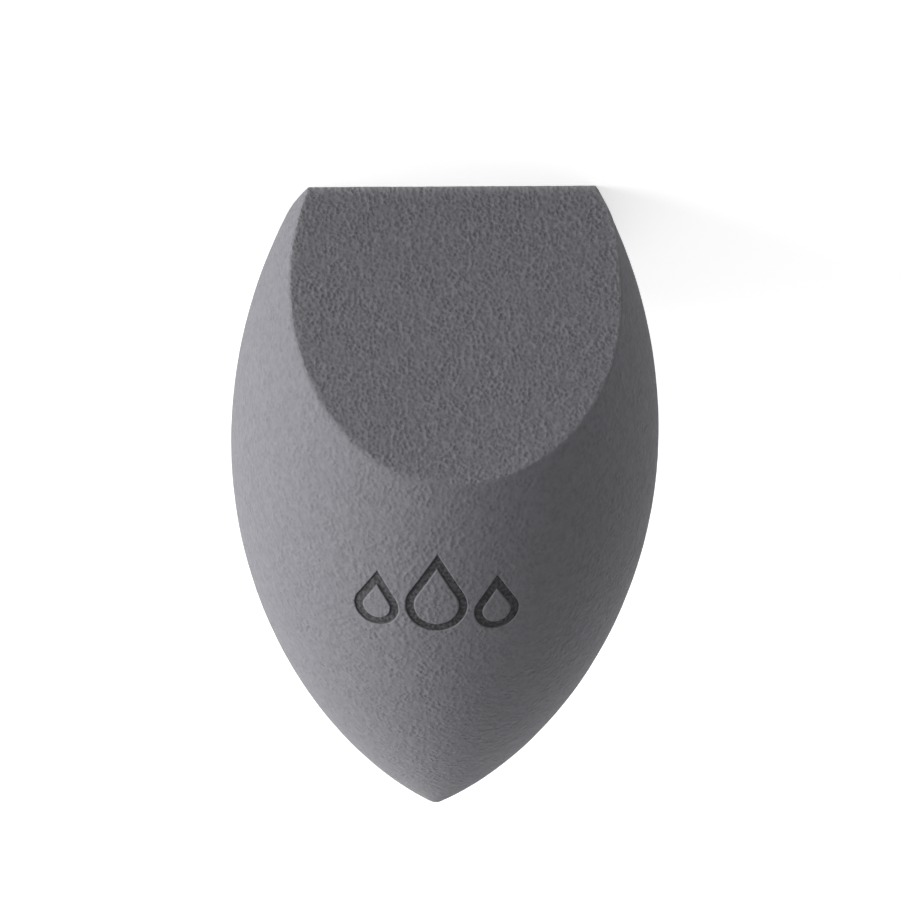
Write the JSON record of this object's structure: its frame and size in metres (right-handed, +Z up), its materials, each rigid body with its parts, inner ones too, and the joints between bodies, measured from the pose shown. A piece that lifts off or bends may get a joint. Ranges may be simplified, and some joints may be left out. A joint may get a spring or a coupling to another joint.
{
  "type": "makeup sponge",
  "caption": "Soft foam makeup blender: a pointed almond body with two oblique flat cuts meeting in a ridge, for dabbing and blending cosmetics.",
  "frame": {"origin": "middle of the flat cut that the sponge rests on, midway between the ridge and the far end of the cut", "axes": "+Z up, square to the rest face; +X along the ridge where the two cuts meet; +Y away from the ridge, the way the pointed end leans out"},
  "size_m": [0.04, 0.0475, 0.045],
  "materials": {
    "foam": "matte fine-celled soft foam, velvety on the turned skin and slightly coarser on the two cut faces",
    "mark_film": "dark matte film fused to the foam at the bottom of the pressed lines"
  },
  "bodies": {
    "root": {"foam_body": "foam", "drop_mark": "mark_film"}
  },
  "joints": []
}
